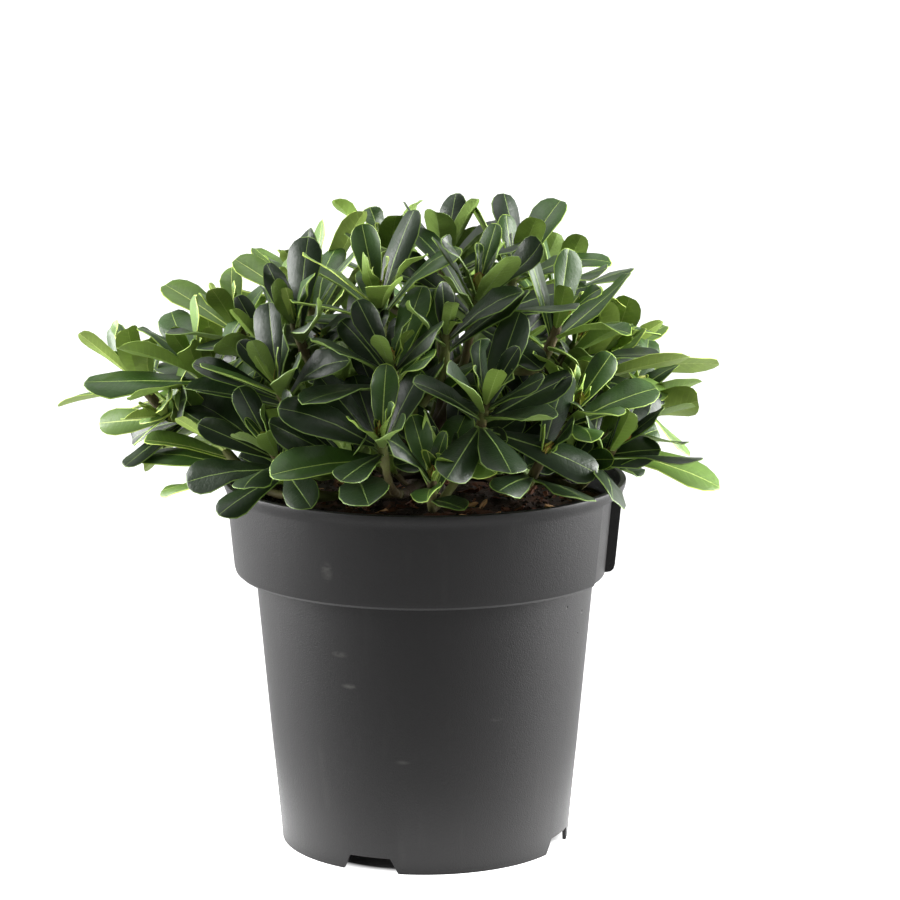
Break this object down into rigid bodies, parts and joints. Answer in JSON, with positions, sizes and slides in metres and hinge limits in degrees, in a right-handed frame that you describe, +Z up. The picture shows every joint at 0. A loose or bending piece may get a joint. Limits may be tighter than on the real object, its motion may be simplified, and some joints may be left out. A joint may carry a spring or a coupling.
{
  "type": "potted dwarf Japanese mock orange",
  "caption": "Dwarf evergreen shrub with whorls of spoon-shaped leaves, rooted in a round plastic nursery pot.",
  "frame": {"origin": "middle of the pot's flat underside, on the ground", "axes": "+Z up along the pot's axis; the pictured front of the plant looks along -Y, and +X is to its right"},
  "size_m": [0.2966, 0.2597, 0.2891],
  "materials": {
    "pot_plastic": "satin",
    "growing_medium": "matte",
    "bark": "matte",
    "leaves": "satin"
  },
  "bodies": {
    "root": {"pot": "pot_plastic", "growing_medium": "growing_medium", "main_stem": "bark", "bough_front_right": "bark", "bough_front_centre": "bark", "bough_front_left": "bark", "bough_left_shoulder": "bark", "bough_centre": "bark", "bough_crest_left": "bark", "bough_crest_right": "bark", "bough_crest_middle": "bark", "bough_left": "bark", "bough_right": "bark", "bough_right_low": "bark", "bough_right_back": "bark", "bough_back_right": "bark", "bough_back": "bark", "bough_back_left": "bark", "bough_left_back": "bark", "bough_back_low": "bark", "foliage_front_right": "leaves", "foliage_front_centre": "leaves", "foliage_front_left": "leaves", "foliage_left_shoulder": "leaves", "foliage_centre": "leaves", "foliage_crest_left": "leaves", "foliage_crest_right": "leaves", "foliage_crest_middle": "leaves", "foliage_left": "leaves", "foliage_right": "leaves", "foliage_right_low": "leaves", "foliage_right_back": "leaves", "foliage_back_right": "leaves", "foliage_back": "leaves", "foliage_back_left": "leaves", "foliage_left_back": "leaves", "foliage_back_low": "leaves"}
  },
  "joints": []
}
